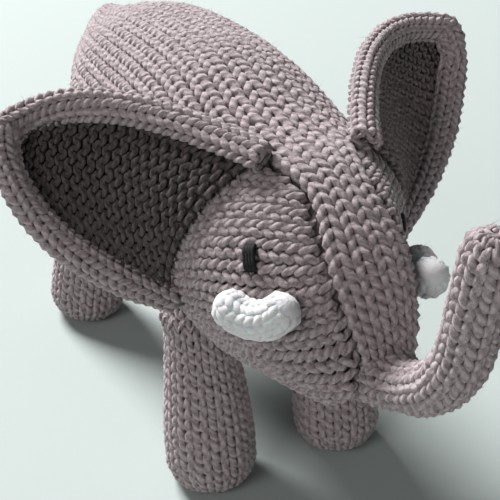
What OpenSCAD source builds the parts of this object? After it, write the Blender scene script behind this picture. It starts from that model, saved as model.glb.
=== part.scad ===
// Stuffed elephant, knitted in yarn and filled with fibre.
// It faces -Y with +Z up. The origin is on the floor, under the middle of its length.
// Its own right side is at -X.

/* [Knitted covers] */
// Thickness of the body, leg and ear fabric
fabric = 2.2; // [1.6:0.1:2.6]
// Thickness of the tighter fabric of the trunk and tusks
fine_fabric = 1.6; // [1.2:0.1:2]

/* [Body and head] */
// Half width of the belly at its widest
belly_r = 27.2; // [26:0.2:29]
// Half height of the belly
belly_h = 30.8; // [29:0.2:32]
// Height of the body's centre line over the floor, between the legs
belly_z = 69.3; // [68:0.1:71]
// Half width of the head at the ears
head_r = 29; // [27:0.5:31]

/* [Legs] */
// Radius of a foot
foot_r = 11.1; // [10.5:0.1:12]
// Radius of the gathered top of a leg
hip_r = 8.6; // [8:0.1:9]
// Height of the front hips over the floor
hip_z = 43; // [42:0.5:44]
// Swing of a leg each way
leg_swing = 20; // [10:1:22]

/* [Trunk] */
// Radius of the trunk
trunk_r = 4.9; // [4.6:0.1:5.6]
// Radius of the trunk's round root
trunk_root_r = 7.2; // [6.8:0.1:7.4]
// Bend radius of the trunk's centre line
trunk_bend = 24; // [22:0.5:26]
// Length of the raised end of the trunk
trunk_rise = 18; // [14:1:22]
// Lift and droop of the trunk
trunk_swing = 20; // [10:1:22]

/* [Ears] */
// Reach of an ear's tip from the middle of the elephant
ear_reach = 62; // [56:1:66]
// Depth of the dish in the middle of an ear
ear_dish = 11; // [6:0.5:13]
// Thickness of the folded hem
hem = 6; // [4.5:0.25:6.5]

/* [Tusks, eyes and tail] */
// Radius of a tusk
tusk_r = 3.8; // [3.4:0.1:4.2]
// Height of an embroidered eye
eye_h = 5.4; // [4.5:0.1:6]
// Length of the tail
tail_l = 26; // [20:1:30]
// Radius of the tail
tail_r = 2.6; // [2.2:0.1:2.8]

/* [Hidden] */

$fn = 48;
wool = "#8f8483";
white_yarn = "#eeeeec";
black_yarn = "#1d1b1c";
filling = "#f3f1ea";

// Gap between a moving piece and the body
gap = 1.0;
sides = 28;
steps = 2;
room_sides = 20;
yarn_r = 0.5;

right = -1;
left = 1;
front_hip = [18.5, -22, hip_z];
rear_hip = [17.5, 50, hip_z + 5];
front_foot = [18.5, -35, 0];
rear_foot = [24.5, 47.5, 0];
trunk_root = [0, -69, 56];
trunk_turn = 88;
tail_root = [0, 89.5, 80];

// The body's centre line from the rump to the chin. Each row holds y, z, the forward tilt of
// that cross-section in degrees, and its half width and half height.
spine = [
    [91, 79.5, -8, 0.1, 0.1],
    [90, 78, -8, 4.8, 5],
    [86, 75, -8, 9, 9.3],
    [76, 71.6, -6, 14.8, 15],
    [62, 70, -4, 21.4, 21.3],
    [42, belly_z + 0.7, 0, belly_r - 0.6, belly_h - 3.3],
    [5, belly_z, 0, belly_r, belly_h],
    [-22, 64.5, 5, head_r, head_r],
    [-39, 61.5, 20, head_r - 1.5, head_r - 1],
    [-53, 55.5, 38, 22.5, 23],
    [-65, 49, 55, 13, 13],
    [-68, 46.5, 60, 7.5, 7.5],
    [-69, 45.5, 60, 0.1, 0.1]
];
last_ring = len(spine) - 1;

// Points on the body. u runs along the spine's rows, and th is the angle from the top of the
// cross-section, positive to the left.
function curve(a, b, c, d, t) =
    0.5 * (2 * b + (c - a) * t + (2 * a - 5 * b + 4 * c - d) * t * t
    + (3 * b - a - 3 * c + d) * t * t * t);
function row(i) = spine[max(0, min(last_ring, i))];
function section(u) =
    let (i = min(last_ring - 1, floor(u)))
    curve(row(i - 1), row(i), row(i + 1), row(i + 2), u - i);
function on_body(u, th) =
    let (s = section(u), h = s[4] * cos(th))
    [s[3] * sin(th), s[0] - h * sin(s[2]), s[1] + h * cos(s[2])];
function unit(v) = v / norm(v);
function ring_axis(tilt) = [0, -cos(tilt), -sin(tilt)];
function body_normal(u, th) =
    u <= 0 ? -ring_axis(row(0)[2])
    : u >= last_ring ? ring_axis(row(last_ring)[2])
    : unit(cross(
        on_body(u + 0.01, th) - on_body(u - 0.01, th), on_body(u, th + 1) - on_body(u, th - 1)
    ));
function off_body(u, th, d) = on_body(u, th) + d * body_normal(u, th);

// Ear surface. s runs from the upper edge to the lower edge and w from the seam to the tip.
ear_u = 7.45;
ear_top = 27;
ear_low = 112;
ear_gap = 1.3;
ear_upper = [38.5, 14.5, 105.5];
ear_lower = [57, -24, 66.5];
ear_tip_top = [ear_reach - 2, 0, 94];
ear_tip_low = [ear_reach, -4, 87];
function mix(a, b, t) = a * (1 - t) + b * t;
function ear_point(s, w) =
    let (
        root = off_body(ear_u, mix(ear_top, ear_low, s), ear_gap),
        middle = mix(ear_upper, ear_lower, s) + [0, 4 * s * (1 - s) * ear_dish, 0],
        tip = mix(ear_tip_top, ear_tip_low, s)
    )
    root * (1 - w) * (1 - w) + middle * 2 * w * (1 - w) + tip * w * w;
function ear_normal(s, w) =
    let (a = max(0.01, min(0.99, s)), b = max(0.01, min(0.99, w)))
    unit(cross(
        ear_point(a + 0.01, b) - ear_point(a - 0.01, b),
        ear_point(a, b + 0.01) - ear_point(a, b - 0.01)
    ));
function bump(x) = x <= 0 ? 0 : x >= 1 ? 1 : x * x * (3 - 2 * x);
function hem_rise(s, w) =
    let (edge = min(min(s, 1 - s) * (1 - 0.45 * w), (1 - w) * 1.1))
    (hem - fabric) * (1 - bump((edge - 0.1) / 0.06)) * bump(w / 0.12);
function ear_face(s, w) = ear_point(s, w) + ear_normal(s, w) * (fabric / 2 + hem_rise(s, w));
function ear_back(s, w) = ear_point(s, w) - ear_normal(s, w) * fabric / 2;

// Joins a grid of points into triangles. Each row wraps round when closed is true.
function grid_faces(rows, cols, closed, first = 0, flip = false) = [
    for (i = [0:rows - 2], j = [0:closed ? cols - 1 : cols - 2])
        let (
            a = first + i * cols + j,
            b = first + i * cols + (j + 1) % cols,
            c = a + cols,
            d = b + cols
        )
        each flip ? [[a, b, d], [a, d, c]] : [[a, d, b], [a, c, d]]
];

module body_solid(inset) {
    count = last_ring * steps;
    points = [for (i = [0:count], j = [0:sides - 1]) off_body(i / steps, 360 * j / sides, -inset)];
    caps = [[for (j = [sides - 1:-1:0]) j], [for (j = [0:sides - 1]) count * sides + j]];
    polyhedron(points, concat(grid_faces(count + 1, sides, true, 0, true), caps), convexity = 4);
}

// A round tube through a list of points. up is any direction that is never along the tube.
module tube(points, radii, up, tube_sides) {
    last = len(points) - 1;
    rings = [
        for (i = [0:last])
            let (
                t = unit(points[min(last, i + 1)] - points[max(0, i - 1)]),
                a = unit(cross(t, up)),
                b = cross(a, t)
            )
            each [for (j = [0:tube_sides - 1]) let (turn = 360 * j / tube_sides)
                points[i] + radii[i] * (a * cos(turn) + b * sin(turn))]
    ];
    caps = [
        [for (j = [tube_sides - 1:-1:0]) j],
        [for (j = [0:tube_sides - 1]) last * tube_sides + j]
    ];
    polyhedron(rings, concat(grid_faces(last + 1, tube_sides, true, 0, true), caps), convexity = 4);
}

module on_side(side) {
    if (side == right) mirror([1, 0, 0]) children();
    else children();
}

// Stands the children on the line from a foot to its hip, with their origin at the hip.
module along_leg(hip, foot) {
    v = hip - foot;
    translate(hip) rotate([0, acos(v[2] / norm(v)), atan2(v[1], v[0])]) children();
}

// Outline of a leg, measured down from the hip: a round slim top, a full calf and a round foot.
foot_round = 9.5;
function leg_profile(length, inset) =
    let (top = hip_r - inset, corner = foot_round - inset)
    concat(
        [for (a = [90:-15:15]) [a == 90 ? 0 : top * cos(a), top * sin(a)]],
        [for (i = [0:10]) let (t = i / 10)
            [mix(hip_r, foot_r, bump(t)) - inset, -t * (length - foot_round - 2)]],
        [for (a = [0:-15:-90])
            [foot_r - foot_round + corner * cos(a), -length + inset + corner + corner * sin(a)]],
        [[0, -length + inset]]
    );

// The sole is flat on the floor: the round end would reach foot_sink below it. first_turn is
// where the revolved outline starts.
foot_sink = 2.2;
first_turn = 30;
module leg_solid(hip, foot, inset) {
    length = norm(hip - foot) + foot_sink;
    intersection() {
        along_leg(hip, foot) rotate([0, 0, first_turn])
            rotate_extrude() polygon(leg_profile(length, inset));
        translate([-60, -90, inset]) cube([120, 180, 90]);
    }
}

function turned(p, a) = [p[0] * cos(a) - p[1] * sin(a), p[0] * sin(a) + p[1] * cos(a)];

// A ball with flat facets, all of them outside its radius.
ball_spare = 1.03;
module room_ball(r) {
    rows = [-80:20:80];
    outer = r * ball_spare;
    tube([for (a = rows) [0, 0, outer * sin(a)]], [for (a = rows) outer * cos(a)], [1, 0, 0], room_sides);
}

// Room that a limb sweeps in the body: a ball at its joint and a wedge away from it, in the
// plane square to X. The wedge points down, turned by lean.
module sweep_room(lean, swing, root_r, end_r, reach) {
    room_ball(root_r);
    rotate([lean, 0, 0]) rotate([90, 0, 90]) translate([0, 0, -root_r])
        linear_extrude(2 * root_r)
            polygon([
                [0, 0], turned([root_r, 0], swing), turned([end_r, -reach], swing),
                turned([-end_r, -reach], -swing), turned([-root_r, 0], -swing)
            ]);
}

// Centre line of the trunk: the distance along it turns into a point.
bend_length = trunk_bend * trunk_turn * PI / 180;
function trunk_point(d) =
    let (
        turn = min(max(d, 0), bend_length) / trunk_bend * 180 / PI,
        over = d < 0 ? d : max(0, d - bend_length)
    )
    trunk_root
    + [0, -trunk_bend * sin(turn), trunk_bend * (1 - cos(turn))]
    + over * [0, -cos(turn), sin(turn)];
function trunk_radius(d) = mix(trunk_root_r, trunk_r, bump(d / 12));

module trunk_solid(inset) {
    tip = bend_length + trunk_rise;
    stations = concat(
        [for (a = [80:-16:0]) [-(trunk_root_r - inset) * sin(a), (trunk_root_r - inset) * cos(a)]],
        [for (d = [2:3:tip - 1]) [d, trunk_radius(d) - inset]],
        [for (a = [0:16:80]) [tip + (trunk_r - inset) * sin(a), (trunk_r - inset) * cos(a)]]
    );
    tube([for (s = stations) trunk_point(s[0])], [for (s = stations) s[1]], [1, 0, 0], 24);
}

leg_room = 26;
trunk_room = 20;
trunk_lean = -100;
function leg_lean(hip, foot) = -atan2(hip[1] - foot[1], hip[2] - foot[2]);
module all_rooms(clear) {
    for (side = [right, left], leg = [[front_hip, front_foot], [rear_hip, rear_foot]])
        on_side(side) translate(leg[0])
            sweep_room(
                leg_lean(leg[0], leg[1]), leg_swing, hip_r + clear, foot_r + clear, leg_room
            );
    translate(trunk_root)
        sweep_room(
            trunk_lean, trunk_swing, trunk_root_r + clear, trunk_root_r + clear, trunk_room
        );
    translate(tail_root) room_ball(tail_r + 0.4 + clear);
}

// The fabric stops at the gathered tops of the legs, behind the trunk and round the tail.
module body_cover() {
    color(wool) difference() {
        body_solid(0);
        body_solid(fabric);
        all_rooms(gap);
    }
}

module body_stuffing() {
    color(filling) difference() {
        body_solid(fabric);
        all_rooms(gap);
    }
}

// The trunk's fabric is open at its root, towards the head.
trunk_mouth = 4;
module trunk_cover() {
    color(wool) difference() {
        trunk_solid(0);
        trunk_solid(fine_fabric);
        translate(trunk_root) rotate([-90, 0, 0]) cylinder(h = 2 * trunk_root_r, r = trunk_mouth);
    }
}

module trunk_stuffing() {
    color(filling) trunk_solid(fine_fabric);
}

module leg_cover(side, hip, foot) {
    color(wool) on_side(side) difference() {
        leg_solid(hip, foot, 0);
        leg_solid(hip, foot, fabric);
    }
}

module leg_stuffing(side, hip, foot) {
    color(filling) on_side(side) leg_solid(hip, foot, fabric);
}

// The sewing yarn round the top of a leg.
module leg_seam(side, hip, foot) {
    color(wool) on_side(side) along_leg(hip, foot)
        rotate_extrude() translate([hip_r + yarn_r - 0.35, 0]) circle(yarn_r, $fn = 16);
}

module ear(side) {
    rows = 15;
    cols = 21;
    face = [for (i = [0:rows - 1], j = [0:cols - 1]) ear_face(j / (cols - 1), i / (rows - 1))];
    back = [for (i = [0:rows - 1], j = [0:cols - 1]) ear_back(j / (cols - 1), i / (rows - 1))];
    n = rows * cols;
    rim = concat(
        [for (j = [0:cols - 1]) j],
        [for (i = [1:rows - 1]) i * cols + cols - 1],
        [for (j = [cols - 2:-1:0]) (rows - 1) * cols + j],
        [for (i = [rows - 2:-1:1]) i * cols]
    );
    edge = [
        for (k = [0:len(rim) - 1])
            let (a = rim[k], b = rim[(k + 1) % len(rim)])
            each [[a, b, b + n], [a, b + n, a + n]]
    ];
    color(wool) on_side(side)
        polyhedron(
            concat(face, back),
            concat(grid_faces(rows, cols, false), grid_faces(rows, cols, false, n, true), edge),
            convexity = 6
        );
}

// The sewing yarn along the root of an ear.
module ear_seam(side) {
    count = 12;
    angles = [for (k = [0:count]) mix(ear_top, ear_low, k / count)];
    color(wool) on_side(side)
        tube(
            [for (th = angles) off_body(ear_u, th, -0.3)], [for (th = angles) yarn_r], [0, 1, 0], 10
        );
}

// Moves the children onto the body's surface, with +Z along its normal.
module place_on_body(u, th) {
    n = body_normal(u, th);
    translate(on_body(u, th)) rotate([0, acos(n[2]), atan2(n[1], n[0])]) children();
}

// A tusk is a short curved tube with round ends, flat where it lies against the cheek.
tusk_u = 8.82;
tusk_th = 62.5;
tusk_bend = 9.4;
tusk_turn = 78;
tusk_lift = 2;
tusk_roll = 252;
function tusk_point(turn, over) =
    tusk_bend * [sin(turn), cos(turn) - 1, 0] + over * [cos(turn), -sin(turn), 0];
module tusk_solid(inset, base = 0.2) {
    r = tusk_r - inset;
    half = tusk_turn / 2;
    stations = concat(
        [for (a = [72:-18:0]) [-half, -r * sin(a), r * cos(a)]],
        [for (turn = [-half + 10:10:half - 5]) [turn, 0, r]],
        [for (a = [0:18:72]) [half, r * sin(a), r * cos(a)]]
    );
    place_on_body(tusk_u, tusk_th) intersection() {
        rotate([0, 0, tusk_roll]) translate([0, 0, tusk_lift])
            tube(
                [for (s = stations) tusk_point(s[0], s[1])], [for (s = stations) s[2]], [0, 0, 1], 20
            );
        translate([-20, -20, -base]) cube(40);
    }
}

// The cover is open where it is sewn to the cheek.
module tusk_cover(side) {
    color(white_yarn) on_side(side) difference() {
        tusk_solid(0);
        tusk_solid(fine_fabric, 1);
    }
}

module tusk_stuffing(side) {
    color(filling) on_side(side) tusk_solid(fine_fabric);
}

// An eye is a block of upright stitches, one beside another. eye_up is a stitch's half length
// and eye_step is the way to the next stitch, both in u and th.
eye_u = 8.26;
eye_th = 50.8;
eye_up = eye_h / 5 * [0.1, 2.6];
eye_step = [0.0135, -1.12];
module eye(side) {
    ends = [-1, -0.9, -0.5, 0, 0.5, 0.9, 1];
    thick = [0.5, 0.9, 1, 1, 1, 0.9, 0.5];
    color(black_yarn) on_side(side)
        for (k = [-1.5:1:1.5])
            tube(
                [for (e = ends)
                    let (at = [eye_u, eye_th] + e * eye_up + k * eye_step)
                    off_body(at[0], at[1], yarn_r - 0.1)],
                yarn_r * thick, body_normal(eye_u, eye_th), 8
            );
}

// The tail leaves the rump backwards and hangs down.
module tail() {
    start = tail_root + [0, -1.6, 1];
    turn = tail_root + [0, 7.5, 0.5];
    tip = tail_root + [0, 5.2, 3 - tail_l];
    last = 14;
    points = [for (i = [0:last]) let (t = i / last, k = 1 - t)
        start * k * k + turn * 2 * k * t + tip * t * t];
    radii = [for (i = [0:last]) tail_r * (i == 0 || i == last ? 0.5 : i == 1 || i == last - 1 ? 0.9 : 1)];
    color(wool) tube(points, radii, [1, 0, 0], 14);
}

body_cover();
body_stuffing();
trunk_cover();
trunk_stuffing();
leg_cover(right, front_hip, front_foot);  // front_right_leg_cover
leg_cover(left, front_hip, front_foot);  // front_left_leg_cover
leg_cover(right, rear_hip, rear_foot);  // rear_right_leg_cover
leg_cover(left, rear_hip, rear_foot);  // rear_left_leg_cover
leg_stuffing(right, front_hip, front_foot);  // front_right_leg_stuffing
leg_stuffing(left, front_hip, front_foot);  // front_left_leg_stuffing
leg_stuffing(right, rear_hip, rear_foot);  // rear_right_leg_stuffing
leg_stuffing(left, rear_hip, rear_foot);  // rear_left_leg_stuffing
leg_seam(right, front_hip, front_foot);  // front_right_leg_seam
leg_seam(left, front_hip, front_foot);  // front_left_leg_seam
leg_seam(right, rear_hip, rear_foot);  // rear_right_leg_seam
leg_seam(left, rear_hip, rear_foot);  // rear_left_leg_seam
ear(right);  // right_ear
ear(left);  // left_ear
ear_seam(right);  // right_ear_seam
ear_seam(left);  // left_ear_seam
tusk_cover(right);  // right_tusk_cover
tusk_cover(left);  // left_tusk_cover
tusk_stuffing(right);  // right_tusk_stuffing
tusk_stuffing(left);  // left_tusk_stuffing
eye(right);  // right_eye
eye(left);  // left_eye
tail();
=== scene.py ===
"""Looks of the knitted elephant: every cover is laid as real yarn, course by course, on the CAD's shapes."""

import math

import bpy
import numpy as np
from mathutils import Matrix


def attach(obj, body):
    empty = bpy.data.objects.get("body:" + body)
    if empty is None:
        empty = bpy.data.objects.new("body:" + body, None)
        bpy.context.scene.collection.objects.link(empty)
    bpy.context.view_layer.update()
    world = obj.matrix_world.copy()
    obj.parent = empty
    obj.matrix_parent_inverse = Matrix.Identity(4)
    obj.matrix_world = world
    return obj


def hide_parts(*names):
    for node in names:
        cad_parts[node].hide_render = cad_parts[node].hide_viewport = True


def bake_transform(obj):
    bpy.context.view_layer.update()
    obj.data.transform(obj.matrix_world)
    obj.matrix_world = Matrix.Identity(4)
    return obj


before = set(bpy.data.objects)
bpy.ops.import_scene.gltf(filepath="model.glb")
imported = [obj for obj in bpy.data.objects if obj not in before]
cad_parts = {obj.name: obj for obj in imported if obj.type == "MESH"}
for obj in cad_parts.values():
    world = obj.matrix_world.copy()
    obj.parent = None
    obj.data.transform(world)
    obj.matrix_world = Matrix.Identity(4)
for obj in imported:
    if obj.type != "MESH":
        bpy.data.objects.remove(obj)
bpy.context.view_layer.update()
rng = np.random.default_rng(11)
MM = 0.001
TAU = 2 * math.pi
rad = np.radians


def unit(v):
    return v / (np.linalg.norm(v, axis=-1, keepdims=True) + 1e-12)


def smooth(x):
    x = np.clip(x, 0, 1)
    return x * x * (3 - 2 * x)


def distance_along(points):
    return np.concatenate([[0], np.cumsum(np.linalg.norm(np.diff(points, axis=0), axis=1))])


# ---------------------------------------------------------------- sizes of the CAD's shapes (mm)
# rows of the body's centre line: y, z, forward tilt in degrees, half width, half height
SPINE = np.array([
    [91, 79.5, -8, 0.1, 0.1],
    [90, 78, -8, 4.8, 5],
    [86, 75, -8, 9, 9.3],
    [76, 71.6, -6, 14.8, 15],
    [62, 70, -4, 21.4, 21.3],
    [42, 70, 0, 26.6, 27.5],
    [5, 69.3, 0, 27.2, 30.8],
    [-22, 64.5, 5, 29, 29],
    [-39, 61.5, 20, 27.5, 28],
    [-53, 55.5, 38, 22.5, 23],
    [-65, 49, 55, 13, 13],
    [-68, 46.5, 60, 7.5, 7.5],
    [-69, 45.5, 60, 0.1, 0.1]])
LAST = len(SPINE) - 1
TRUNK_ROOT = np.array([0, -69.0, 56.0])
TRUNK_BEND, TRUNK_TURN, TRUNK_RISE = 24.0, 88.0, 18.0
TRUNK_R, TRUNK_ROOT_R = 4.9, 7.2
TAIL_ROOT = np.array([0, 89.5, 80])
HIP_R, FOOT_R, FOOT_ROUND, FOOT_SINK = 8.6, 11.1, 9.5, 2.2
HIPS = {"front": (np.array([18.5, -22, 43]), np.array([18.5, -35, 0])),
        "rear": (np.array([17.5, 50, 48]), np.array([24.5, 47.5, 0]))}
EAR_U, EAR_TOP, EAR_LOW, EAR_GAP = 7.45, 27.0, 112.0, 1.3
TUSK_U, TUSK_TH, TUSK_R, TUSK_BEND, TUSK_HALF, TUSK_ROLL = 8.82, 62.5, 3.8, 9.4, 39.0, 252.0
TUSK_LIFT = {"right": 2.0, "left": 3.4}
EYE_U, EYE_TH = 8.26, 50.8
LEFT_CHEEK = 0.28  # how much less the left cheek is stuffed
SIDES = {"right": np.array([-1.0, 1, 1]), "left": np.ones(3)}


def section(u):
    u = np.asarray(u, float)
    i = np.clip(np.floor(u).astype(int), 0, LAST - 1)
    t = (u - i)[..., None]
    a, b, c, d = (SPINE[np.clip(i + k, 0, LAST)] for k in (-1, 0, 1, 2))
    return 0.5 * (2 * b + (c - a) * t + (2 * a - 5 * b + 4 * c - d) * t * t
                  + (3 * b - a - 3 * c + d) * t ** 3)


def slim(u, th):
    """Where the left cheek is stuffed less than the right one: from the band's edge to under the cheek."""
    turn = np.degrees((np.asarray(th) + math.pi) % TAU - math.pi)
    return (smooth((np.asarray(u) - 7.6) / 1.0) * smooth((11.4 - u) / 1.6)
            * smooth((turn - 17) / 30) * smooth((170 - turn) / 90))


def on_body(u, th):
    s = section(u)
    h = s[..., 4] * np.cos(th)
    tilt = rad(s[..., 2])
    wide = s[..., 3] * (1 - LEFT_CHEEK * slim(u, th))
    return np.stack([wide * np.sin(th), s[..., 0] - h * np.sin(tilt), s[..., 1] + h * np.cos(tilt)], -1)


def body_normal(u, th):
    w = np.clip(u, 0.02, LAST - 0.02)
    along = on_body(w + 0.01, th) - on_body(w - 0.01, th)
    return unit(np.cross(along, on_body(w, th + 0.02) - on_body(w, th - 0.02)))


def off_body(u, th, d):
    return on_body(u, th) + np.asarray(d)[..., None] * body_normal(u, th)


# ---------------------------------------------------------------- yarn meshes
PLIES = 2
STITCH_POINTS = 12  # points along the yarn in each stitch
FIBRE_R, FIBRE_MAX, FIBRES_PER_MM = 0.045, 2.2, 0.42
SOLE = 1.2  # yarn lower than this over the floor is pressed flat on it


class Yarns:
    """Collects tubes of yarn into one mesh. Its UV map is the length along and the turn round the yarn."""

    def __init__(self):
        self.verts, self.faces, self.uvs, self.count, self.rings = [], [], [], 0, []

    def tube(self, path, normal, radius, sides=8, closed=False):
        n = len(path)
        if n < 4:
            return
        along = unit(np.roll(path, -1, 0) - np.roll(path, 1, 0) if closed else np.gradient(path, axis=0))
        side = unit(np.cross(along, normal))
        out = np.cross(side, along)
        radius = np.broadcast_to(radius, (n,))[:, None, None]
        turn = TAU * np.arange(sides) / sides
        ring = path[:, None] + radius * (np.cos(turn)[None, :, None] * out[:, None]
                                         + np.sin(turn)[None, :, None] * side[:, None])
        step = np.linalg.norm(np.diff(path, axis=0), axis=1)
        length = np.concatenate([[0], np.cumsum(step)])
        rows = np.arange(n if closed else n - 1)
        i, j = np.meshgrid(rows, np.arange(sides), indexing="ij")
        i2, j2 = (i + 1) % n, (j + 1) % sides
        quad = np.stack([i * sides + j, i * sides + j2, i2 * sides + j2, i2 * sides + j], -1).reshape(-1, 4)
        l1 = length[i]
        l2 = np.where(i2 == 0, length[-1] + step[-1], length[i2])
        v1, v2 = j / sides, (j + 1) / sides
        uv = np.stack([np.stack([l1, v1], -1), np.stack([l1, v2], -1), np.stack([l2, v2], -1),
                       np.stack([l2, v1], -1)], -2).reshape(-1, 4, 2)
        if sides >= 6:
            self.rings.append((ring, path, normal, along))
        self.verts.append(ring.reshape(-1, 3))
        self.faces.extend((quad + self.count).tolist())
        self.uvs.append(uv.reshape(-1, 2))
        if not closed:
            for first, flip in ((0, True), ((n - 1) * sides, False)):
                cap = [self.count + first + k for k in range(sides)]
                self.faces.append(cap[::-1] if flip else cap)
                self.uvs.append(np.full((sides, 2), 0.5))
        self.count += n * sides

    def fuzz(self):
        """Loose fibres that stand off the yarn."""
        rings, self.rings = self.rings, []
        for ring, path, normal, along in rings:
            length = np.linalg.norm(np.diff(path, axis=0), axis=1).sum()
            for _ in range(rng.poisson(length * FIBRES_PER_MM)):
                i = rng.integers(1, len(path) - 1)
                j = rng.integers(0, ring.shape[1])
                out = unit(ring[i, j] - path[i])
                if out @ normal[i] < -0.1:
                    continue
                size = rng.uniform(0.7, FIBRE_MAX)
                way = unit(0.55 * out + along[i] * rng.choice([-1.0, 1.0]) + rng.normal(0, 0.45, 3))
                bend = rng.normal(0, 0.35, 3) - 0.15 * normal[i]
                t = np.linspace(0, 1, 5)[:, None]
                line = ring[i, j] - out * 0.06 + size * (way * t + bend * t * t)
                across = np.broadcast_to(unit(np.cross(way, out) + 1e-3), (5, 3))
                self.tube(line, across, FIBRE_R * (1.15 - t[:, 0]), 3)

    def finish(self, name, material, clamp_floor=False, fuzzy=True):
        if fuzzy:
            self.fuzz()
        verts = np.concatenate(self.verts)
        if clamp_floor:
            low = verts[:, 2] < SOLE
            verts[low, 2] = 0.05 + np.maximum(verts[low, 2] + SOLE, 0) * 0.479
        return make_mesh(name, verts, self.faces, material, np.concatenate(self.uvs))


def make_mesh(name, verts, faces, material, uvs=None):
    mesh = bpy.data.meshes.new(name)
    mesh.from_pydata((np.asarray(verts) * MM).tolist(), [], faces)
    if uvs is not None:
        layer = mesh.uv_layers.new(name="yarn")
        layer.data.foreach_set("uv", np.asarray(uvs, np.float32).ravel())
    mesh.polygons.foreach_set("use_smooth", np.ones(len(mesh.polygons), bool))
    mesh.materials.append(material)
    mesh.update()
    obj = bpy.data.objects.new(name, mesh)
    bpy.context.scene.collection.objects.link(obj)
    return obj


def lay_course(yarns, surface, c0, c1, row, yarn_r, closed=False, keep=None, amp=0.86, lean=0.235, depth=0.5,
                base=-1.0, fill=0.215):
    """One course of stockinette from column c0 to c1 at a row of surface(c, row, d) -> (points, normals)."""
    stitches = c1 - c0
    n = int(round(stitches * STITCH_POINTS))
    c = c0 + np.arange(n if closed else n + 1) * stitches / n
    tau = TAU * (c - 0.5)
    knots = int(stitches * 2) + 1

    def wander(size):
        v = rng.normal(0, size, knots)
        if closed:
            v[-1] = v[0]
        return np.interp((c - c0) / stitches, np.linspace(0, 1, knots), v)

    cc = c + lean * np.sin(2 * tau) + wander(0.022)
    rr = row + amp * np.cos(tau) + wander(0.04)
    d = base - depth * np.cos(2 * tau) + wander(0.07)
    path, normal = surface(cc, rr, d)
    wide = np.linalg.norm(surface(cc + 0.5, rr, d)[0] - surface(cc - 0.5, rr, d)[0], axis=-1)
    r = np.minimum(yarn_r, fill * wide + 0.04) * (1 - 0.14 * np.cos(2 * tau)) * (1 + wander(0.05))
    good = np.ones(len(c), bool) if keep is None else keep(path)
    if good.all():
        yarns.tube(path, normal, r, closed=closed)
        return
    if not good.any():
        return
    start = 0
    if closed:  # turn the ring so that it starts in a hole
        start = int(np.argmin(good))
        path, normal, r, good = (np.roll(x, -start, 0) for x in (path, normal, r, good))
    run = []
    for k in range(len(good) + 1):
        if k < len(good) and good[k]:
            run.append(k)
        elif run:
            yarns.tube(path[run], normal[run], r[run])
            run = []


# ---------------------------------------------------------------- materials
def link(nt, a, b):
    nt.links.new(a, b)


def new_material(name):
    """A material with its node tree, its surface shader and the object's own coordinates."""
    m = bpy.data.materials.new(name)
    m.use_nodes = True
    nt = m.node_tree
    nt.nodes.clear()
    out = nt.nodes.new("ShaderNodeOutputMaterial")
    bsdf = nt.nodes.new("ShaderNodeBsdfPrincipled")
    link(nt, bsdf.outputs[0], out.inputs[0])
    coord = nt.nodes.new("ShaderNodeTexCoord")
    return m, nt, bsdf, coord.outputs["Object"]


def math_node(nt, op, a, b=None, clamp=False):
    n = nt.nodes.new("ShaderNodeMath")
    n.operation = op
    n.use_clamp = clamp
    for i, v in enumerate((a, b)):
        if v is None:
            continue
        if isinstance(v, (int, float)):
            n.inputs[i].default_value = v
        else:
            link(nt, v, n.inputs[i])
    return n.outputs[0]


def noise(nt, vector, scale, detail=2.0, roughness=0.5):
    n = nt.nodes.new("ShaderNodeTexNoise")
    n.inputs["Scale"].default_value = scale
    n.inputs["Detail"].default_value = detail
    n.inputs["Roughness"].default_value = roughness
    link(nt, vector, n.inputs["Vector"])
    return n.outputs["Fac"]


def mix_colour(nt, fac, a, b):
    n = nt.nodes.new("ShaderNodeMix")
    n.data_type = "RGBA"
    link(nt, fac, n.inputs["Factor"])
    for socket, v in ((n.inputs[6], a), (n.inputs[7], b)):
        if isinstance(v, tuple):
            socket.default_value = (*v, 1)
        else:
            link(nt, v, socket)
    return n.outputs[2]


def add_relief(nt, bsdf, height, distance, strength=1.0):
    bump = nt.nodes.new("ShaderNodeBump")
    bump.inputs["Strength"].default_value = strength
    bump.inputs["Distance"].default_value = distance
    link(nt, height, bump.inputs["Height"])
    link(nt, bump.outputs[0], bsdf.inputs["Normal"])


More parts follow.
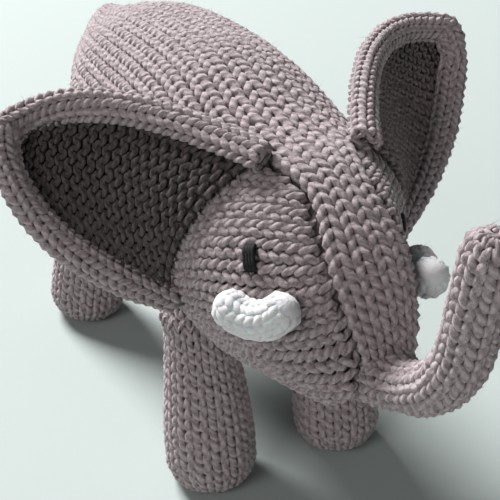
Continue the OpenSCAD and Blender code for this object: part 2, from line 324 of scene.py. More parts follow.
def yarn_material(name, light, dark, fleck, roughness=0.9, sheen=0.25, lay=2.2, relief=0.00042,
                  subsurface=0.0, fibres=1.0):
    """Plied yarn: helical plies and fine fibres from the UV map, with flecks and slow colour changes."""
    m, nt, bsdf, obj = new_material(name)
    uv = nt.nodes.new("ShaderNodeUVMap")
    uv.uv_map = "yarn"
    sep = nt.nodes.new("ShaderNodeSeparateXYZ")
    link(nt, uv.outputs[0], sep.inputs[0])
    wobble = noise(nt, obj, 900, 1)
    phase = math_node(nt, "ADD", math_node(nt, "MULTIPLY", sep.outputs[0], TAU / lay),
                      math_node(nt, "MULTIPLY", sep.outputs[1], TAU * PLIES))
    phase = math_node(nt, "ADD", phase, math_node(nt, "MULTIPLY", wobble, 1.6))
    ply = math_node(nt, "MULTIPLY_ADD", math_node(nt, "SINE", phase), 0.5)
    ply.node.inputs[2].default_value = 0.5
    # fibres: noise stretched along the twist
    comb = nt.nodes.new("ShaderNodeCombineXYZ")
    link(nt, math_node(nt, "MULTIPLY", sep.outputs[0], 0.55), comb.inputs[0])
    link(nt, math_node(nt, "ADD", math_node(nt, "MULTIPLY", sep.outputs[1], 7.0),
                       math_node(nt, "MULTIPLY", sep.outputs[0], 1.4)), comb.inputs[1])
    fibre = noise(nt, comb.outputs[0], 3.4, 4, 0.65)
    fine = noise(nt, obj, 2600, 3, 0.7)
    slow = noise(nt, obj, 38, 2)
    heather = noise(nt, obj, 420, 3, 0.7)
    # colour: random fibre tone, with the plies' grooves painted darker as painted shade between the plies
    tone = math_node(nt, "MULTIPLY_ADD", math_node(nt, "SUBTRACT", fibre, 0.5), 2.6)
    tone.node.inputs[2].default_value = 0.05
    tone = math_node(nt, "ADD", tone, math_node(nt, "MULTIPLY", math_node(nt, "SUBTRACT", fine, 0.5), 1.2))
    tone = math_node(nt, "ADD", tone, math_node(nt, "MULTIPLY", slow, 0.35))
    tone = math_node(nt, "ADD", tone, math_node(nt, "MULTIPLY", ply, 0.6), clamp=True)
    colour = mix_colour(nt, tone, dark, light)
    spots = math_node(nt, "MULTIPLY", math_node(nt, "SUBTRACT", heather, 0.5), 2.2, clamp=True)
    colour = mix_colour(nt, spots, colour, fleck)
    link(nt, colour, bsdf.inputs["Base Color"])
    # relief
    height = math_node(nt, "ADD", math_node(nt, "MULTIPLY", ply, 0.75),
                       math_node(nt, "MULTIPLY", fibre, 0.6 * fibres))
    height = math_node(nt, "ADD", height, math_node(nt, "MULTIPLY", fine, 0.5 * fibres))
    add_relief(nt, bsdf, height, relief, 0.9)
    bsdf.inputs["Roughness"].default_value = roughness
    bsdf.inputs["Specular IOR Level"].default_value = 0.25
    bsdf.inputs["Sheen Weight"].default_value = sheen
    bsdf.inputs["Sheen Roughness"].default_value = 0.5
    bsdf.inputs["Sheen Tint"].default_value = (1, 0.97, 0.96, 1)
    if subsurface:
        bsdf.inputs["Subsurface Weight"].default_value = subsurface
        bsdf.inputs["Subsurface Scale"].default_value = 0.0015
    return m


def felt_material(name, light, dark):
    """The matted fibre seen between stitches."""
    m, nt, bsdf, obj = new_material(name)
    a = noise(nt, obj, 700, 4, 0.7)
    b = noise(nt, obj, 140, 2)
    colour = mix_colour(nt, math_node(nt, "ADD", math_node(nt, "MULTIPLY", a, 0.7),
                                      math_node(nt, "MULTIPLY", b, 0.4), clamp=True), dark, light)
    link(nt, colour, bsdf.inputs["Base Color"])
    add_relief(nt, bsdf, a, 0.00025)
    bsdf.inputs["Roughness"].default_value = 0.95
    bsdf.inputs["Sheen Weight"].default_value = 0.2
    return m


WOOL_LIGHT, WOOL_DARK, WOOL_FLECK = (0.40, 0.335, 0.348), (0.155, 0.122, 0.128), (0.46, 0.40, 0.415)
wool = yarn_material("wool_yarn", WOOL_LIGHT, WOOL_DARK, WOOL_FLECK)
# the filling seen between the stitches is painted much darker than the yarn: painted shade in the gaps
# between stitches
filling_wool_painted_shade = felt_material("matted_wool_painted_shade", (0.19, 0.152, 0.157), (0.08, 0.063, 0.066))
white_yarn = yarn_material("white_soft_yarn", (0.54, 0.535, 0.54), (0.48, 0.475, 0.48), (0.58, 0.575, 0.58),
                           sheen=0.4, subsurface=0.25, lay=2.6, relief=0.00008, fibres=1.2)
white_matted = felt_material("matted_white", (0.55, 0.54, 0.545), (0.49, 0.48, 0.49))
# the ear panels' yarn is painted far darker than the body's wool: painted shade inside the ears, painted
# lighter on the left ear than on the right
EAR_PANEL_PAINTED_SHADE_COLOURS = (0.115, 0.090, 0.093), (0.03, 0.022, 0.023), (0.13, 0.106, 0.11)
ear_panel_wool_painted_shade = {}
for side, share in (("right", 0.9), ("left", 1.9)):
    painted_shade_tones = [tuple(share * v for v in colour) for colour in EAR_PANEL_PAINTED_SHADE_COLOURS]
    ear_panel_wool_painted_shade[side] = yarn_material(f"wool_yarn_purl_side_painted_shade_{side}", *painted_shade_tones, sheen=0.1)
# the core behind the ear panels is near black: painted deep shade inside the ears
ear_core_painted_deep_shade = felt_material("matted_wool_in_ears_painted_shade", (0.030, 0.023, 0.024), (0.012, 0.009, 0.0095))
black_yarn = yarn_material("black_yarn", (0.012, 0.011, 0.012), (0.004, 0.004, 0.004), (0.02, 0.019, 0.02),
                           roughness=0.8, sheen=0.0, lay=1.6, relief=0.00006)

# ---------------------------------------------------------------- body, band and cheeks
COLS = 34
ROW = 2.8
col_th = TAU / COLS

# the forehead band: its half width in degrees round the body, along the face
BAND_U = [7.45, 7.8, 8.0, 8.26, 8.52, 8.75, 9.2, 9.6, 10.0, 10.4, 11.2]
BAND_TH = [21.18, 16.5, 15.2, 16.5, 20.0, 22.5, 22.5, 22.0, 24.0, 30.0, 40.0]
BAND_LAST_U = 10.3

u_line = np.linspace(0.02, EAR_U, 1500)
side_line = on_body(u_line, np.full_like(u_line, math.pi / 2))
arc = distance_along(side_line)
back_m = arc - arc[-1]
u_face = np.linspace(EAR_U, BAND_U[-1], 900)
top_line = on_body(u_face, np.zeros_like(u_face))
m_line = np.concatenate([back_m, distance_along(top_line)[1:]])
u_all = np.concatenate([u_line, u_face[1:]])


def u_at(row):
    return np.interp(row * ROW, m_line, u_all)


def band_th(u):
    return rad(np.interp(u, BAND_U, BAND_TH))


def tube_surface(c, row, d):
    u = u_at(row)
    th = c * col_th
    return off_body(u, th, d), body_normal(u, th)


def band_surface(c, row, d):
    u = u_at(row)
    th = c / 2 * band_th(u)
    return off_body(u, th, d), body_normal(u, th)


# a cheek's columns leave the body's lengthwise and turn in to the band: k = 0 beside it, 15 under the chin
EDGE_K = [0, 1, 2, 4, 6, 8, 10, 12, 13.5, 15]
EDGE_U = [7.5, 7.80, 7.98, 8.32, 8.62, 8.95, 9.35, 10.0, 10.7, 11.6]
EDGE_TH = [20.0, 16.5, 15.5, 17.5, 21.5, 22.5, 22.5, 30.0, 90.0, 180.0]
BOW_K = [0, 5, 6.5, 8, 10, 12, 13.5, 15]
BOW_P = [1.2, 1.3, 1.9, 2.8, 3.4, 2.8, 1.6, 1.0]
CHEEK_COLS, CHEEK_ROW = 15, 2.6
K_STEPS = 8  # stored columns for each column of a cheek
K_GRID = np.linspace(0, CHEEK_COLS, CHEEK_COLS * K_STEPS + 1)
S_GRID = np.linspace(0, 1, 161)


def cheek_paths():
    k = K_GRID[:, None]
    s = S_GRID[None]
    th0 = BAND_TH[0] + k * (180 - BAND_TH[0]) / CHEEK_COLS
    ue = np.interp(K_GRID, EDGE_K, EDGE_U)[:, None]
    the = np.interp(K_GRID, EDGE_K, EDGE_TH)[:, None]
    p = np.interp(K_GRID, BOW_K, BOW_P)[:, None]
    u = EAR_U + (ue - EAR_U) * (1 - (1 - s) ** p)
    th = rad(th0 + (the - th0) * s)
    # how far each point lies along its column, measured on the full right cheek
    pts = on_body(u, -th)
    return u, th, np.stack([distance_along(line) for line in pts])


CH_U, CH_TH, CH_M = cheek_paths()
CH_LEN = CH_M[:, -1]


def cheek_surface(c, row, d):
    """c is -15 beside the band on the right, 0 under the chin and 15 beside the band on the left."""
    side = np.where(c < 0, -1.0, 1.0)
    k = np.clip(CHEEK_COLS - np.abs(c), 0, CHEEK_COLS)
    f = k * K_STEPS
    i0 = np.clip(np.floor(f).astype(int), 0, len(K_GRID) - 2)
    w = f - i0
    m = row * CHEEK_ROW
    length = np.interp(k, K_GRID, CH_LEN)
    out = []
    for i in (i0, i0 + 1):
        # along each stored column, at the same share of its length
        share = np.clip(m / np.maximum(length, 1e-3), 0, 1) * CH_LEN[i]
        u = np.empty_like(m)
        th = np.empty_like(m)
        for g in np.unique(i):
            pick = i == g
            u[pick] = np.interp(share[pick], CH_M[g], CH_U[g])
            th[pick] = np.interp(share[pick], CH_M[g], CH_TH[g])
        out.append((u, th))
    u = out[0][0] * (1 - w) + out[1][0] * w
    th = (out[0][1] * (1 - w) + out[1][1] * w) * side
    tuck = np.clip((m - length + 2.2) / 2.2, 0, 1)
    return off_body(u, th, d - 0.4 * tuck), body_normal(u, th)


def away_from(*balls):
    def keep(path):
        good = np.ones(len(path), bool)
        for centre, r in balls:
            good &= np.linalg.norm(path - centre, axis=1) > r
        return good
    return keep


def holes(spare=0.0):
    """Balls where the legs, the tail and the trunk leave the body."""
    hips = [hip * m for hip, _ in HIPS.values() for m in (SIDES["left"], SIDES["right"])]
    return [*((hip, HIP_R + 0.5 + spare) for hip in hips), (TAIL_ROOT, 3.4 + spare),
            (TRUNK_ROOT, TRUNK_ROOT_R + 0.2 + spare)]


body_keep = away_from(*holes())

YARN = 1.0  # radius of the yarn
rows_back = int(-m_line[0] / ROW)
body_knits = []
for part, rows in zip(("front", "middle", "rear"), np.array_split(np.arange(1, rows_back + 1), 3)):
    yarns = Yarns()
    for i in rows:
        lay_course(yarns, tube_surface, -COLS / 2, COLS / 2, -i + 0.5, YARN, closed=True, keep=body_keep,
                   depth=0.4, fill=0.235)
    body_knits.append(yarns.finish(f"body_knit_{part}", wool))

band = Yarns()
band_end = np.interp(BAND_LAST_U, u_all, m_line)
for i in range(int(band_end / ROW) + 1):
    lay_course(band, band_surface, -2, 2, i + 0.5, YARN, keep=body_keep, base=-0.6, depth=0.6, lean=0.25,
               amp=0.9)
face_band = band.finish("forehead_band_knit", wool)

cheek = Yarns()
for i in range(int(CH_LEN.max() / CHEEK_ROW) + 1):
    row = i + 0.5
    enough = K_GRID[CH_LEN > row * CHEEK_ROW + 0.4]
    if not len(enough):
        continue
    k_min = math.ceil(enough.min() * 2) / 2
    reach = CHEEK_COLS - k_min
    if reach <= 1:
        continue
    lay_course(cheek, cheek_surface, -reach, reach, row, 0.82, keep=body_keep, base=-1.0)
cheeks = cheek.finish("cheek_knit", wool)


def pocket(points, normals, balls):
    """Pushes points inside a ball back along their normals, so that the surface makes a pocket round it."""
    p = points.copy()
    for centre, r in balls:
        q = p - centre
        inside = np.linalg.norm(q, axis=-1) < r
        b = (q * -normals).sum(-1)
        t = -b + np.sqrt(np.maximum(b * b - (q * q).sum(-1) + r * r, 0))
        p = np.where(inside[..., None], p - normals * t[..., None], p)
    return p


def grid_mesh(name, points, material):
    """A surface over a grid of points, closed round its second axis, with its ends capped."""
    rows, cols = points.shape[:2]
    i, j = np.meshgrid(np.arange(rows - 1), np.arange(cols), indexing="ij")
    j2 = (j + 1) % cols
    quads = np.stack([i * cols + j, i * cols + j2, (i + 1) * cols + j2, (i + 1) * cols + j], -1)
    faces = quads.reshape(-1, 4).tolist()
    faces.append(list(range(cols))[::-1])
    faces.append([(rows - 1) * cols + k for k in range(cols)])
    return make_mesh(name, points.reshape(-1, 3), faces, material)


uu, tt = np.meshgrid(np.linspace(0.05, LAST - 0.05, 150), np.linspace(0, TAU, 120, endpoint=False),
                     indexing="ij")
nn = body_normal(uu, tt)
lining = pocket(off_body(uu, tt, np.full_like(uu, -1.9)), nn, holes(spare=0.8))
body_lining = grid_mesh("body_filling", lining, filling_wool_painted_shade)


# ---------------------------------------------------------------- tubes: legs, trunk, tusks, tail
LEG_COLS, LEG_ROW = 16, 2.8
TRUNK_COLS, TRUNK_ROW = 8, 2.4
TAIL_COLS, TAIL_ROW = 5, 2.1
TUSK_COLS, TUSK_ROW = 6, 2.3


def spine_frame(points, up):
    t = unit(np.gradient(points, axis=0))
    a = unit(np.cross(t, up))
    return t, a, np.cross(a, t)


class Bent:
    """A round tube along a line: columns round it, distance s along its outline."""

    def __init__(self, points, radii, up, cols):
        self.cols = cols
        self.t, self.a, self.b = spine_frame(points, np.array(up, float))
        self.points, self.radii = points, np.asarray(radii, float)
        step = np.sqrt((np.diff(points, axis=0) ** 2).sum(1) + np.diff(self.radii) ** 2)
        self.s = np.concatenate([[0], np.cumsum(step)])
        along = distance_along(points)
        dr, ds = np.gradient(self.radii), np.maximum(np.gradient(along), 1e-6)
        size = np.hypot(dr, ds)
        self.tilt_r, self.tilt_t = ds / size, -dr / size

    def at(self, s, turn, d):
        def g(v):
            return np.stack([np.interp(s, self.s, v[:, k]) for k in range(3)], -1)
        p, t, a, b = g(self.points), unit(g(self.t)), unit(g(self.a)), unit(g(self.b))
        r = np.interp(s, self.s, self.radii)
        nr, nt_ = np.interp(s, self.s, self.tilt_r), np.interp(s, self.s, self.tilt_t)
        radial = a * np.cos(turn)[..., None] + b * np.sin(turn)[..., None]
        n = unit(radial * nr[..., None] + t * nt_[..., None])
        return p + radial * r[..., None] + n * np.asarray(d)[..., None], n

    def surface(self, row_height, start=0.0):
        def f(c, row, d):
            return self.at(np.clip(start + row * row_height, 0, self.s[-1]), c * TAU / self.cols, d)
        return f

    def core(self, d, rings=60, sides=40):
        s, turn = np.meshgrid(np.linspace(0.02, self.s[-1] - 0.02, rings),
                              np.linspace(0, TAU, sides, endpoint=False), indexing="ij")
        return self.at(s, turn, np.full_like(s, d))[0]


def leg_tube(hip, foot):
    """A leg from its foot up: round foot, straight calf and round top, with z measured down from the hip."""
    axis = unit(foot - hip)
    length = np.linalg.norm(hip - foot) + FOOT_SINK
    top = rad(np.linspace(0, 90, 20))
    corner = rad(np.linspace(0, 90, 24))
    calf = np.linspace(0, 1, 40)[1:-1]
    foot_z = length - FOOT_ROUND
    z = np.concatenate([-HIP_R * np.cos(top), calf * (foot_z - 2), foot_z + FOOT_ROUND * np.sin(corner)])
    r = np.concatenate([HIP_R * np.sin(top), HIP_R + (FOOT_R - HIP_R) * smooth(calf),
                        FOOT_R - FOOT_ROUND + FOOT_ROUND * np.cos(corner)])
    z = np.append(z, length + 0.001)
    r = np.append(r, 0.3)
    z = z + np.linspace(0, 1e-4, len(z))
    points = hip + axis * z[:, None]
    return Bent(points[::-1], r[::-1], (1, 0, 0), LEG_COLS)


pieces = {}  # every finished piece that is ridden below, by name
for end, (hip, foot) in HIPS.items():
    for side, m in SIDES.items():
        limb = leg_tube(hip * m, foot * m)
        yarns = Yarns()
        surface = limb.surface(LEG_ROW, 2.5)
        rows = int((limb.s[-1] - 5) / LEG_ROW)
        for i in range(rows):
            lay_course(yarns, surface, 0, LEG_COLS, i + 0.5, YARN, closed=True, depth=0.5)
        name = f"{end}_{side}_leg"
        knit = yarns.finish(name + "_knit", wool, clamp_floor=True)
        core = limb.core(-1.7)
        core[..., 2] = np.maximum(core[..., 2], 0.4)
        fill = grid_mesh(name + "_filling", core, filling_wool_painted_shade)
        pieces[name] = (knit, fill)

TURN = math.radians(TRUNK_TURN)
BEND_LENGTH = TRUNK_BEND * TURN


def trunk_line(dist):
    turn = np.clip(dist, 0, BEND_LENGTH) / TRUNK_BEND
    over = np.where(dist < 0, dist, np.maximum(0, dist - BEND_LENGTH))
    z = np.zeros_like(turn)
    return (TRUNK_ROOT + TRUNK_BEND * np.stack([z, -np.sin(turn), 1 - np.cos(turn)], -1)
            + over[:, None] * np.stack([z, -np.cos(turn), np.sin(turn)], -1))


tip = BEND_LENGTH + TRUNK_RISE
cap = rad(np.linspace(0, 88, 14))
along = np.linspace(-6, tip, 70)  # from inside the head to the start of the round tip
dist = np.concatenate([along, tip + TRUNK_R * np.sin(cap[1:])])
radii = np.concatenate([TRUNK_ROOT_R + (TRUNK_R - TRUNK_ROOT_R) * smooth(along / 12),
                        TRUNK_R * np.cos(cap[1:])])
trunk = Bent(trunk_line(dist), radii, (1, 0, 0), TRUNK_COLS)
yarns = Yarns()
surface = trunk.surface(TRUNK_ROW)
for i in range(int(trunk.s[-1] / TRUNK_ROW)):
    lay_course(yarns, surface, 0, TRUNK_COLS, i + 0.5, 0.86, closed=True, base=-0.7)
# the last yarn is coiled over the tip
coil = np.linspace(0, 1, 60)
coil_path, coil_normal = trunk.at(trunk.s[-1] - 0.3 - 3.4 * coil, 2.5 * TAU * coil, np.full(60, -0.55))
yarns.tube(coil_path, coil_normal, 0.62, 8)
trunk_knit = yarns.finish("trunk_knit", wool)
trunk_fill = grid_mesh("trunk_filling", trunk.core(-1.6), filling_wool_painted_shade)

# tail: a short knitted cord
k = np.linspace(0, 1, 40)[:, None]
start, turn_p, end_p = TAIL_ROOT + [0, -1.6, 1], TAIL_ROOT + [0, 7.5, 0.5], TAIL_ROOT + [0, 5.2, -23]
line = start * (1 - k) ** 2 + turn_p * 2 * k * (1 - k) + end_p * k * k
rr = 2.4 * np.sqrt(np.clip(1 - np.clip((k[:, 0] - 0.93) / 0.07, 0, 1) ** 2, 0.02, 1))
tail_tube = Bent(line, rr, (1, 0, 0), TAIL_COLS)
yarns = Yarns()
surface = tail_tube.surface(TAIL_ROW)
for i in range(int(tail_tube.s[-1] / TAIL_ROW)):
    lay_course(yarns, surface, 0, TAIL_COLS, i + 0.5, 0.72, closed=True, base=-0.45, depth=0.4)
tail_knit = yarns.finish("tail_knit", wool)
tail_core = grid_mesh("tail_core", tail_tube.core(-1.2, 40, 20), filling_wool_painted_shade)


# tusks
def place_on_body(u, th, m):
    """A place on the side of the body that m mirrors to, as seen on the left, and the turn from +Z there."""
    u, th = np.array(float(u)), np.array(math.radians(th) * m[0])
    n = body_normal(u, th) * m
    a, b = math.acos(n[2]), math.atan2(n[1], n[0])
    ry = np.array([[math.cos(a), 0, math.sin(a)], [0, 1, 0], [-math.sin(a), 0, math.cos(a)]])
    rz = np.array([[math.cos(b), -math.sin(b), 0], [math.sin(b), math.cos(b), 0], [0, 0, 1]])
    return on_body(u, th) * m, rz @ ry


def tusk_tube(side, m):
    """A short bent tube with round ends that lies along the cheek."""
    origin, turn_to = place_on_body(TUSK_U, TUSK_TH, m)
    end = rad(np.linspace(84, 0, 12))
    middle = np.linspace(-TUSK_HALF, TUSK_HALF, 24)[1:-1]
    turn = rad(np.concatenate([np.full(12, -TUSK_HALF), middle, np.full(12, TUSK_HALF)]))
    over = TUSK_R * np.concatenate([-np.sin(end), np.zeros(22), np.sin(end[::-1])])
    radii = TUSK_R * np.concatenate([np.cos(end), np.ones(22), np.cos(end[::-1])])
    x = TUSK_BEND * np.sin(turn) + over * np.cos(turn)
    y = TUSK_BEND * (np.cos(turn) - 1) - over * np.sin(turn)
    roll = rad(TUSK_ROLL)
    pts = np.stack([x * np.cos(roll) - y * np.sin(roll), x * np.sin(roll) + y * np.cos(roll),
                    np.full_like(x, TUSK_LIFT[side])], -1)
    pts = origin + pts @ turn_to.T
    return Bent(pts * m, radii, turn_to @ np.array([0, 0, 1.0]) * m, TUSK_COLS)


for side, m in SIDES.items():
    tusk = tusk_tube(side, m)
    yarns = Yarns()
    surface = tusk.surface(TUSK_ROW)
    for i in range(int(tusk.s[-1] / TUSK_ROW)):
        lay_course(yarns, surface, 0, TUSK_COLS, i + 0.5, 1.15, closed=True, base=-0.85, depth=0.1, fill=0.36)
    pieces[side + "_tusk"] = (yarns.finish(side + "_tusk_knit", white_yarn),
                              grid_mesh(side + "_tusk_filling", tusk.core(0.0, 40, 28), white_matted))

# eyes: straight stitches laid side by side
for side, sign, rise in (("right", -1.0, 1.0), ("left", 1.0, 0.3)):
    yarns = Yarns()
    for q in (-1.5, -0.5, 0.5, 1.5):
        e = np.linspace(-1, 1, 17) * (1 + 0.05 * math.sin(5 * q))
        th = rad(EYE_TH + 2.85 * e - 1.12 * q) * sign
        lift = rise - 1.7 * np.abs(e) ** 6
        uq = EYE_U + 0.11 * e + 0.0135 * q
        yarns.tube(off_body(uq, th, lift), body_normal(uq, th), 0.5, 8)
    pieces[side + "_eye"] = yarns.finish(side + "_eye_stitches", black_yarn, fuzzy=False)


# ---------------------------------------------------------------- ears
EAR_DISH = 11.0
EAR_COLS, EAR_ROW = 13, 2.35
HEM_COLS = 4
EAR_STITCHES, LEG_STITCHES = 15, 18  # whip stitches along an ear's root and round a leg's top
TIP_W = 0.965  # where an ear's edges begin to turn round its tip
EDGE_STEPS, FOLD_STEPS = 120, 120


class Ear:
    """An ear's surface: s runs from the upper to the lower edge and w from the seam to the tip."""

    def __init__(self, upper, lower, tip_top, tip_low, top):
        self.upper, self.lower = np.array(upper, float), np.array(lower, float)
        self.tip_top, self.tip_low = np.array(tip_top, float), np.array(tip_low, float)
        self.top = top
        self.w_line = np.linspace(0, 1, 300)
        self.m_line = distance_along(self.point(np.full(300, 0.5), self.w_line))
        self.rim()

    def point(self, s, w):
        s, w = np.broadcast_arrays(np.asarray(s, float), np.asarray(w, float))
        th = rad(self.top + (EAR_LOW - self.top) * s)
        root = off_body(np.full_like(s, EAR_U), th, np.full_like(s, EAR_GAP))
        mid = self.upper + (self.lower - self.upper) * s[..., None]
        mid = mid + np.stack([0 * s, 4 * s * (1 - s) * EAR_DISH, 0 * s], -1)
        end = self.tip_top + (self.tip_low - self.tip_top) * s[..., None]
        w = w[..., None]
        return root * (1 - w) ** 2 + mid * 2 * w * (1 - w) + end * w * w

    def normal(self, s, w):
        a, b = np.clip(s, 0.01, 0.99), np.clip(w, 0.01, 0.99)
        return unit(np.cross(self.point(a + 0.01, b) - self.point(a - 0.01, b),
                             self.point(a, b + 0.01) - self.point(a, b - 0.01)))

    def rim(self):
        """Along the upper edge, round the tip and back along the lower edge."""
        edge = np.linspace(0.0, TIP_W, EDGE_STEPS)
        a = np.stack([np.zeros(EDGE_STEPS), edge], -1)
        turn = np.linspace(0, 1, 40)[1:-1]
        b = np.stack([turn, TIP_W + 0.035 * np.sin(turn * math.pi) ** 0.6], -1)
        c = np.stack([np.ones(EDGE_STEPS), edge[::-1]], -1)
        sw = np.concatenate([a, b, c])
        p, n = self.point(sw[:, 0], sw[:, 1]), self.normal(sw[:, 0], sw[:, 1])
        for _ in range(10):  # rounds the corners at the tip
            p[1:-1] = (p[:-2] + 2 * p[1:-1] + p[2:]) / 4
            n[1:-1] = unit(n[:-2] + 2 * n[1:-1] + n[2:])
        inward = unit(np.cross(unit(np.gradient(p, axis=0)), n))
        half = EDGE_STEPS // 2
        if inward[half] @ (self.point(0.5, 0.4) - p[half]) < 0:
            inward = -inward
        self.rim_p, self.rim_n, self.rim_i = p, n, inward
        self.rim_m = distance_along(p)


EARS = {"right": Ear((36.1, 10.2, 99.7), (59.5, -25.6, 63.3), (59.1, 0, 89.7), (61, -4.4, 85.8), 19),
        "left": Ear((37, 13.9, 105.9), (56, -23.2, 65.6), (64.3, -0.4, 100.8), (64.9, -4.4, 92.7), 21)}
# section of the folded hem, from the back round the fold: (inward, outward along the ear's front normal)
FOLD = np.array([[5.0, -0.9], [3.4, -1.1], [1.8, -1.2], [0.5, -0.9], [-0.2, 0.0], [-0.3, 1.2],
                 [0.2, 2.3], [1.3, 3.0], [2.8, 3.1], [4.4, 2.8], [5.8, 2.2], [6.6, 1.4]])


def resample(curve, n):
    m = distance_along(curve)
    s = np.linspace(0, m[-1], n)
    return np.stack([np.interp(s, m, curve[:, k]) for k in range(curve.shape[1])], -1)


FOLD_P = resample(FOLD, FOLD_STEPS)
for _ in range(30):  # rounds the fold's corners
    FOLD_P[1:-1] = (FOLD_P[:-2] + 2 * FOLD_P[1:-1] + FOLD_P[2:]) / 4
FOLD_T = unit(np.gradient(FOLD_P, axis=0))
FOLD_N = np.stack([-FOLD_T[:, 1], FOLD_T[:, 0]], -1)
if FOLD_N[FOLD_STEPS // 2] @ np.array([-1.0, 0]) < 0:
    FOLD_N = -FOLD_N


def make_ear(ear, m):
    def panel(c, row, d):
        w = np.interp(np.clip(row * EAR_ROW, 0, ear.m_line[-1]), ear.m_line, ear.w_line)
        s = np.clip(c / EAR_COLS, 0, 1)
        n = ear.normal(s, w)
        return (ear.point(s, w) + n * np.asarray(d)[..., None]) * m, n * m

    def rim(c, row, d):
        x = np.clip(row * EAR_ROW, 0, ear.rim_m[-1])
        q = np.clip(c / HEM_COLS, 0, 1) * (FOLD_STEPS - 1)

        def r3(v):
            return np.stack([np.interp(x, ear.rim_m, v[:, k]) for k in range(3)], -1)

        def f2(v):
            return np.stack([np.interp(q, np.arange(FOLD_STEPS), v[:, k]) for k in range(2)], -1)
        p, n, inward = r3(ear.rim_p), unit(r3(ear.rim_n)), unit(r3(ear.rim_i))
        a, b = f2(FOLD_P), unit(f2(FOLD_N))
        a = a + b * np.asarray(d)[..., None]
        return (p + inward * a[..., :1] + n * a[..., 1:]) * m, unit(inward * b[..., :1] + n * b[..., 1:]) * m

    inner = Yarns()
    for i in range(int(ear.m_line[-1] / EAR_ROW)):
        # the smooth side faces back, so the panel's front shows the bumps
        lay_course(inner, panel, 0.25, EAR_COLS - 0.25, i + 0.5, 0.80, base=0.15, depth=-0.8, amp=0.8,
                   lean=0.2)
    hem = Yarns()
    for i in range(int(ear.rim_m[-1] / EAR_ROW)):
        lay_course(hem, rim, 0.0, HEM_COLS, i + 0.5, 0.82, base=-0.35, depth=0.5)
    s, w = np.meshgrid(np.linspace(0.02, 0.98, 40), np.linspace(0.0, 0.99, 50), indexing="ij")
    n = ear.normal(s, w)
    p = ear.point(s, w)
    sheet = np.concatenate([p + n * 0.15, (p - n * 0.45)[::-1]], 0) * m
    x, q = np.meshgrid(np.linspace(0.02, ear.rim_m[-1] - 0.02, 160) / EAR_ROW,
                       np.linspace(0.05, HEM_COLS - 0.05, 24), indexing="ij")
    outer, _ = rim(q, x, np.full_like(q, -0.5))
    inner_side, _ = rim(q, x, np.full_like(q, -1.3))
    roll = np.concatenate([outer, inner_side[:, ::-1]], 1)
    return inner, hem, sheet, roll


for side, m in SIDES.items():
    inner, hem, sheet, roll = make_ear(EARS[side], m)
    pieces[side + "_ear"] = [
        inner.finish(side + "_ear_panel_knit", ear_panel_wool_painted_shade[side]), hem.finish(side + "_ear_hem_knit", wool),
        grid_mesh(side + "_ear_panel_core", np.swapaxes(sheet, 0, 1), ear_core_painted_deep_shade),
        grid_mesh(side + "_ear_hem_core", roll, filling_wool_painted_shade)]
    # whip stitches that sew the ear's root to the head
    yarns = Yarns()
    sign = m[0]
    for t in np.linspace(0.03, 0.97, EAR_STITCHES):
        th = rad(EAR_TOP + (EAR_LOW - EAR_TOP) * t)
        x = np.linspace(-1, 1, 13)
        u = EAR_U + 0.10 * x
        th_line = (th + rad(1.3) * x) * sign
        yarns.tube(off_body(u, th_line, 0.35 - 1.3 * x ** 2), body_normal(u, th_line), 0.34, 8)
    pieces[side + "_ear_seam"] = yarns.finish(side + "_ear_whip_stitches", wool)

# sewing stitches round the top of each leg
for end, (hip, foot) in HIPS.items():
    for side, m in SIDES.items():
        yarns = Yarns()
        h = hip * m
        axis = unit((foot - hip) * m)
        a = unit(np.cross(axis, [0, 1.0, 0]))
        b = np.cross(axis, a)
        for t in np.linspace(0, TAU, LEG_STITCHES, endpoint=False):
            x = np.linspace(-1, 1, 9)
            ang = t + 0.12 * x
            radial = a * np.cos(ang)[:, None] + b * np.sin(ang)[:, None]
            path = h + radial * (HIP_R + 0.35 + 0.25 * (1 - x ** 2))[:, None] + axis * (1.4 * x)[:, None]
            yarns.tube(path, radial, 0.36, 6)
        pieces[f"{end}_{side}_leg_seam"] = yarns.finish(f"{end}_{side}_leg_whip_stitches", wool)

# ---------------------------------------------------------------- what each piece stands for and rides on
for obj in (*body_knits, face_band, cheeks):
    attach(obj, "torso")
    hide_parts("body_cover")
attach(body_lining, "torso")
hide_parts("body_stuffing")
for obj, cad, slot in ((trunk_knit, "trunk_cover", "grey_yarn"), (trunk_fill, "trunk_stuffing", "filling")):
    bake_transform(obj)
    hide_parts(cad)
for obj in (tail_knit, tail_core):
    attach(obj, "tail")
    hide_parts("tail")
for end in HIPS:
    for side in SIDES:
        body = cad = f"{end}_{side}_leg"
        knit, fill = pieces[body]
        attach(knit, body)
        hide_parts(cad + "_cover")
        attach(fill, body)
        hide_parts(cad + "_stuffing")
        seam = pieces[body + "_seam"]
        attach(seam, body)
        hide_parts(cad + "_seam")
for side in SIDES:
    for obj in pieces[side + "_ear"]:
        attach(obj, side + "_ear")
        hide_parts(side + "_ear")
    seam = pieces[side + "_ear_seam"]
    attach(seam, "torso")
    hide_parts(side + "_ear_seam")
    knit, fill = pieces[side + "_tusk"]
    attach(knit, "torso")
    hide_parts(side + "_tusk_cover")
    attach(fill, "torso")
    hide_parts(side + "_tusk_stuffing")
    eye = pieces[side + "_eye"]
    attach(eye, "torso")
    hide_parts(side + "_eye")

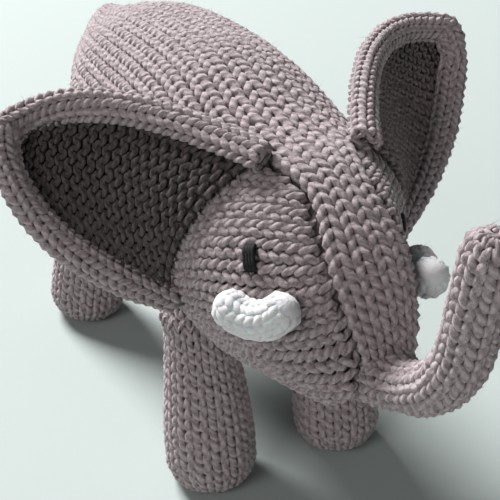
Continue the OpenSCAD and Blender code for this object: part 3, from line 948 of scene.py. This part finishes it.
# ---------------------------------------------------------------- floor, light, camera
floor_mat, nt, bsdf, coord = new_material("pale_paper")
paper = mix_colour(nt, noise(nt, coord, 3, 2), (0.332, 0.374, 0.362), (0.342, 0.382, 0.371))
link(nt, paper, bsdf.inputs["Base Color"])
add_relief(nt, bsdf, noise(nt, coord, 900, 3), 0.00003)
bsdf.inputs["Roughness"].default_value = 0.85
bsdf.inputs["Specular IOR Level"].default_value = 0.2
floor_mesh = bpy.data.meshes.new("floor")
floor_mesh.from_pydata([(-3, -3, 0), (3, -3, 0), (3, 3, 0), (-3, 3, 0)], [], [(0, 1, 2, 3)])
floor_mesh.materials.append(floor_mat)
floor = bpy.data.objects.new("floor", floor_mesh)
bpy.context.scene.collection.objects.link(floor)

world = bpy.data.worlds.new("studio")
world.use_nodes = True
world.node_tree.nodes["Background"].inputs[0].default_value = (0.86, 0.95, 0.93, 1)
world.node_tree.nodes["Background"].inputs[1].default_value = 0.12
bpy.context.scene.world = world


def set_frame(obj, x, y, z, place):
    """Puts an object at a place, with its own axes along x, y and z."""
    obj.matrix_world = Matrix([[*row, p] for row, p in zip(np.transpose([x, y, z]), place)] + [[0, 0, 0, 1]])
    bpy.context.scene.collection.objects.link(obj)


def area_light(name, place, target, size, power, colour):
    data = bpy.data.lights.new(name, "AREA")
    data.shape = "DISK"
    data.size = size
    data.energy = power
    data.color = colour
    obj = bpy.data.objects.new(name, data)
    z = unit(np.array(place, float) - np.array(target, float))
    x = unit(np.cross([0, 0, 1.0], z))
    set_frame(obj, x, np.cross(z, x), z, place)


area_light("key", (-0.62, 2.40, 2.20), (0, 0, 0.05), 1.45, 310, (1, 0.995, 1))
area_light("fill", (-1.0, -0.42, 0.60), (0, 0, 0.05), 0.6, 5.4, (1, 0.965, 0.96))
area_light("front", (0.35, -1.10, 0.06), (0, 0, 0.06), 0.6, 3.4, (1, 0.965, 0.96))

turn, height, roll = rad(-29.21), rad(31.7), rad(4.0)  # the camera's azimuth, elevation and tilt
level = np.array([np.cos(turn), np.sin(turn), 0])
view = np.array([-np.sin(turn) * np.cos(height), np.cos(turn) * np.cos(height), -np.sin(height)])
over = np.cross(level, view)
cam_data = bpy.data.cameras.new("camera")
cam_data.sensor_width = 36
cam_data.lens = 68.4
cam_data.clip_start = 0.01
cam = bpy.data.objects.new("camera", cam_data)
set_frame(cam, np.cos(roll) * level + np.sin(roll) * over, np.cos(roll) * over - np.sin(roll) * level, -view,
          np.array([-99.9, -191.2, 177.6]) * MM)
bpy.context.scene.camera = cam
bpy.context.scene.view_settings.view_transform = "Standard"
